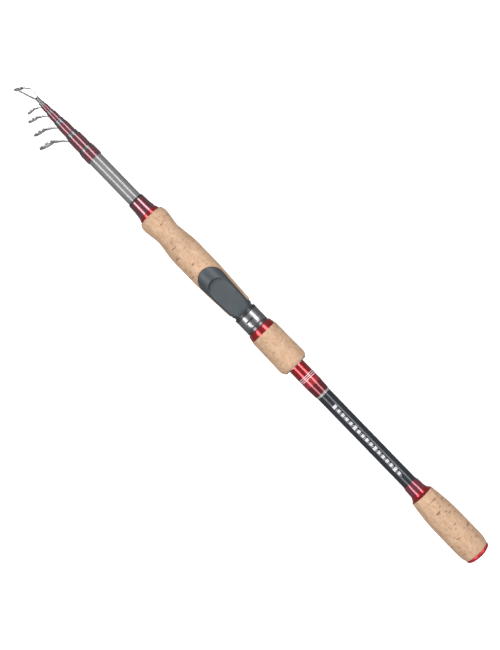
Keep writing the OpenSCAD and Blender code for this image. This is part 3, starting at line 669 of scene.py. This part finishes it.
# The fore grip is let out for the seat. Only what lies inside the plain solid is kept, and
# the solid is made a little fatter first, so that it trims the opening and not the outside.
fatter = 1.012
weld_reach = 0.002 * mm
opening = nodes["fore_grip"].data.copy()
cutter = bpy.data.objects.new("fore_grip_opening", opening)
bpy.context.scene.collection.objects.link(cutter)
for vertex in opening.vertices:
    vertex.co.y *= fatter
    vertex.co.z = axis_z + (vertex.co.z - axis_z) * fatter
weld = cutter.modifiers.new("weld", "WELD")
weld.merge_threshold = weld_reach
trim = fore_cork.modifiers.new("trim", "BOOLEAN")
trim.operation = "INTERSECT"
trim.solver = "MANIFOLD"
trim.object = cutter
bpy.context.view_layer.update()
trimmed = bpy.data.meshes.new_from_object(
    fore_cork.evaluated_get(bpy.context.evaluated_depsgraph_get()))
fore_cork.modifiers.remove(trim)
fore_cork.data = trimmed
bpy.data.objects.remove(cutter)

for piece, node, body in ((fore_cork, "fore_grip", "butt_section"), (nut_cork, "nut_cork", "nut"),
                          (butt_cork, "butt_grip", "butt_section")):
    piece.data.materials.clear()
    piece.data.materials.append(cork)
    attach(piece, body)
    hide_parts(node)


# ---- Reel seat: the moulded body with its bed, fixed hood and threaded barrel ----
# One piece of satin slate-black nylon, glued on the blank and let into the fore grip. The
# reel's foot lies on the bed, and its front end goes under the round mouth.
def softened(node, name, grid, passes, exact_behind):
    """A closed copy with rounded edges, but on the exact surface behind one station."""
    source = bpy.data.objects.new(name + "_source", nodes[node].data.copy())
    bpy.context.scene.collection.objects.link(source)
    weld = source.modifiers.new("weld", "WELD")
    weld.merge_threshold = weld_reach
    skin = source.modifiers.new("skin", "REMESH")
    skin.mode = "VOXEL"
    skin.voxel_size = grid
    ease = source.modifiers.new("ease", "SMOOTH")
    ease.factor = 0.5
    ease.iterations = passes
    bpy.context.view_layer.update()
    mesh = bpy.data.meshes.new_from_object(
        source.evaluated_get(bpy.context.evaluated_depsgraph_get()))
    bpy.data.objects.remove(source)
    surface = BVHTree.FromPolygons([v.co for v in nodes[node].data.vertices],
                                   [p.vertices[:] for p in nodes[node].data.polygons])
    for vertex in mesh.vertices:
        if vertex.co.x < exact_behind:
            vertex.co = surface.find_nearest(vertex.co)[0]
    mesh.name = name
    mesh.polygons.foreach_set("use_smooth", [True] * len(mesh.polygons))
    piece = bpy.data.objects.new(name, mesh)
    bpy.context.scene.collection.objects.link(piece)
    return piece


slate_plastic = moulded("slate_plastic", (0.04, 0.05, 0.057), 0.46)
hood_reach = 3 * mm
seat = softened("seat_body", "seat_moulding", grid=0.4 * mm, passes=5,
                exact_behind=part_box("hood_liner")[1].x + hood_reach)
seat.data.materials.clear()
seat.data.materials.append(slate_plastic)
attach(seat, "butt_section")
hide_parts("seat_body")

# ---- Moving hood: liner, steel shell and thrust ring ----
# The plastic liner slides on the barrel and its tongue keeps it from turning. The pressed
# steel shell is clinched over the liner, and the dark thrust ring is held in the nut.
black_plastic = moulded("black_plastic", (0.018, 0.02, 0.024), 0.34)
pressed_steel = turned_metal("pressed_steel", (0.32, 0.32, 0.33), 0.27)
dark_ring = turned_metal("dark_ring", (0.16, 0.165, 0.175), 0.3)
dress(black_plastic, "hood_liner")
dress(pressed_steel, "moving_hood")
dress(dark_ring, "hood_ring")

# ---- Screw nut: red ring, threaded core and rear ring under the cork sleeve ----
# The red anodised ring at the front holds the hood's thrust ring. The core carries the
# thread, and the cork sleeve is glued on it. A pale ring closes the rear end.
silver_ring = turned_metal("silver_ring", (0.26, 0.25, 0.24), 0.38)
dress(anodised_red, "nut_ring")
dress(black_plastic, "nut_core")
dress(silver_ring, "nut_rear_ring")

# ---- Trim behind the seat: red tube, white bands, red wrap and its resin ----
# A red anodised tube covers the blank behind the barrel. Three white bands lie between
# it and the thread wrap, whose rear half is darker and runs out in a collar of resin.
band_white = moulded("band_white", (0.66, 0.6, 0.6), 0.3)
dress(anodised_red, "rear_tube")
dress(band_white, "trim_bands")


def two_tone_wrap(name, front_colour, rear_colour, change_x):
    """Thread wrap whose colour changes at one station along the rod."""
    material, tree, shader, add = new_material(name)
    place = add("ShaderNodeSeparateXYZ")
    link(tree, object_coords(tree, add, (1, 1, 1)), place.inputs[0])
    ahead = add("ShaderNodeMapRange")
    ahead.inputs["From Min"].default_value = change_x - 0.2 * mm
    ahead.inputs["From Max"].default_value = change_x + 0.2 * mm
    link(tree, place.outputs["X"], ahead.inputs["Value"])
    turns = noise(tree, add, object_coords(tree, add, (3400, 90, 90)), 1, 2)
    mix = add("ShaderNodeMix", data_type="RGBA")
    link(tree, ahead.outputs["Result"], mix.inputs["Factor"])
    deeper = [[c * 0.6 for c in colour] for colour in (front_colour, rear_colour)]
    link(tree, ramp(tree, add, turns, [(0.3, deeper[1]), (0.6, rear_colour)]), mix.inputs[6])
    link(tree, ramp(tree, add, turns, [(0.3, deeper[0]), (0.6, front_colour)]), mix.inputs[7])
    link(tree, mix.outputs[2], shader.inputs["Base Color"])
    shader.inputs["Metallic"].default_value = 0.7
    rough(tree, add, shader, turns, 0.2, 0.32)
    bump(tree, add, shader, turns, 0.3, 0.03 * mm)
    shader.inputs["Coat Weight"].default_value = 0.8
    shader.inputs["Coat Roughness"].default_value = 0.03
    return material


low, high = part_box("rear_wrap")
half_way = low.x + (high.x - low.x) * 0.52
rear_finish = two_tone_wrap("rear_wrap_finish", (0.58, 0.05, 0.065), (0.20, 0.02, 0.03), half_way)
dress(rear_finish, "rear_wrap")


def clear_resin(name):
    """Clear epoxy: glossy, with a few small bubbles in it."""
    material, tree, shader, add = new_material(name)
    bubbles = noise(tree, add, object_coords(tree, add, (1500, 1500, 1500)), 1, 2)
    link(tree, ramp(tree, add, bubbles, [(0.4, (0.45, 0.45, 0.46)), (0.75, (0.85, 0.85, 0.85))]),
         shader.inputs["Base Color"])
    rough(tree, add, shader, bubbles, 0.05, 0.15)
    shader.inputs["Transmission Weight"].default_value = 0.6
    shader.inputs["IOR"].default_value = 1.5
    return material


dress(clear_resin("clear_resin"), "rear_wrap_resin")


# ---- Printed scale on the black blank ----
# A plain scale is printed in white on the blank, on the side of the reel seat: a row of
# blocks, and a row of fine ticks beside it. In both, every fifth mark is longer.
def tick_tree():
    """Thin boxes along X, every fifth longer, bent round the axis on one side of a tube."""
    tree, new, join, fill = new_tree(
        "printed_ticks", Front="Float", Pitch="Float", Count="Int", Width="Float", Length="Float",
        Start="Float", Radius="Float", Axis_Height="Float", Finish="Material")
    given = new("NodeGroupInput").outputs
    film = 0.04 * mm

    def number(operation, *values):
        return fill("ShaderNodeMath", *values, operation=operation).outputs[0]

    def vector(*values):
        return fill("ShaderNodeCombineXYZ", *values).outputs[0]

    line = new("GeometryNodeMeshLine")
    line.mode = "OFFSET"
    join(given["Count"], line.inputs["Count"])
    join(vector(given["Front"], 0.0, 0.0), line.inputs["Start Location"])
    join(vector(number("MULTIPLY", given["Pitch"], -1.0), 0.0, 0.0), line.inputs["Offset"])
    box = new("GeometryNodeMeshCube")
    box.inputs["Size"].default_value = (1, 1, 1)
    box.inputs["Vertices Y"].default_value = 12
    index = new("GeometryNodeInputIndex")
    fifth = number("COMPARE", number("MODULO", index.outputs[0], 5.0), 0.0, 0.1)
    longer = number("MULTIPLY", given["Length"], number("ADD", number("MULTIPLY", fifth, 0.4), 1.0))
    place = new("GeometryNodeInstanceOnPoints")
    join(line.outputs["Mesh"], place.inputs["Points"])
    join(box.outputs["Mesh"], place.inputs["Instance"])
    join(vector(given["Width"], longer, film), place.inputs["Scale"])
    shift = new("GeometryNodeTranslateInstances")
    join(place.outputs["Instances"], shift.inputs["Instances"])
    join(vector(0.0, number("ADD", given["Start"], number("MULTIPLY", longer, -0.5)), 0.0),
         shift.inputs["Translation"])
    final = new("GeometryNodeRealizeInstances")
    join(shift.outputs["Instances"], final.inputs["Geometry"])
    spot = new("GeometryNodeInputPosition")
    split = new("ShaderNodeSeparateXYZ")
    join(spot.outputs[0], split.inputs[0])
    angle = number("DIVIDE", split.outputs["Y"], given["Radius"])
    reach = number("ADD", given["Radius"], split.outputs["Z"])
    move = new("GeometryNodeSetPosition")
    join(final.outputs[0], move.inputs["Geometry"])
    sideways = number("MULTIPLY", reach, number("SINE", angle))
    upward = number("MULTIPLY", reach, number("COSINE", angle))
    join(vector(split.outputs["X"], sideways, number("ADD", given["Axis Height"], upward)),
         move.inputs["Position"])
    end_tree(new, join, move.outputs[0], given["Finish"])
    return tree


print_white = moulded("print_white", (0.5, 0.51, 0.54), 0.35)
low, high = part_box("butt_blank")
tube_radius = high.z - axis_z
resin_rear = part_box("rear_wrap_resin")[0].x
bare_length = 13 * mm
printed = tick_tree()
for name, pitch, count, width, length, start in (("printed_blocks", 4.6, 17, 2.7, 2.6, 0.6),
                                                 ("printed_ticks", 2.3, 34, 0.5, 1.1, 3.4)):
    marks = grown(
        name, printed, bpy.data.meshes.new(name),
        **{"Front": resin_rear - bare_length, "Pitch": pitch * mm, "Count": count,
           "Width": width * mm, "Length": length * mm, "Start": start * mm,
           "Radius": tube_radius, "Axis Height": axis_z, "Finish": print_white})
    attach(marks, "butt_section")


# ---- Butt check, butt cap and what is inside ----
# The flared red check closes the front of the butt grip. The domed cap screws into a
# sleeve in the blank. Its rubber bumper stops the sections, and a rubber ring seals it.
satin_red = turned_metal("satin_red", (0.66, 0.045, 0.06), 0.34, metallic=0.7)
machined = turned_metal("machined", (0.6, 0.6, 0.62), 0.25)
rubber = moulded("rubber", (0.02, 0.02, 0.021), 0.7)
dress(anodised_red, "butt_check")
dress(satin_red, "butt_cap")
dress(machined, "butt_insert", "cap_screw")
dress(rubber, "cap_seal", "cap_bumper")

# ---- Guides: wire frames with ceramic rings ----
# Each frame is bent steel wire with a band and a flat foot, plated in smoked chrome. The
# foot is bound under the wrap. The ring is dark ceramic, polished, pressed in the band.
smoked_chrome = turned_metal("smoked_chrome", (0.5, 0.5, 0.51), 0.3)
ceramic = moulded("ceramic", (0.17, 0.172, 0.18), 0.22)
dress(smoked_chrome, *[f"guide_{i}_frame" for i in (1, 2, 3, 4)])
dress(ceramic, *[f"guide_{i}_ring" for i in (1, 2, 3, 4)])

# ---- Tip top ----
# A short tube is glued over the end of the tip blank. Two legs and two thin braces,
# welded to it, carry the band of the last ring.
bright_steel = turned_metal("bright_steel", (0.26, 0.26, 0.265), 0.28)
dress(bright_steel, "tip_top_frame")
dress(ceramic, "tip_top_ring")
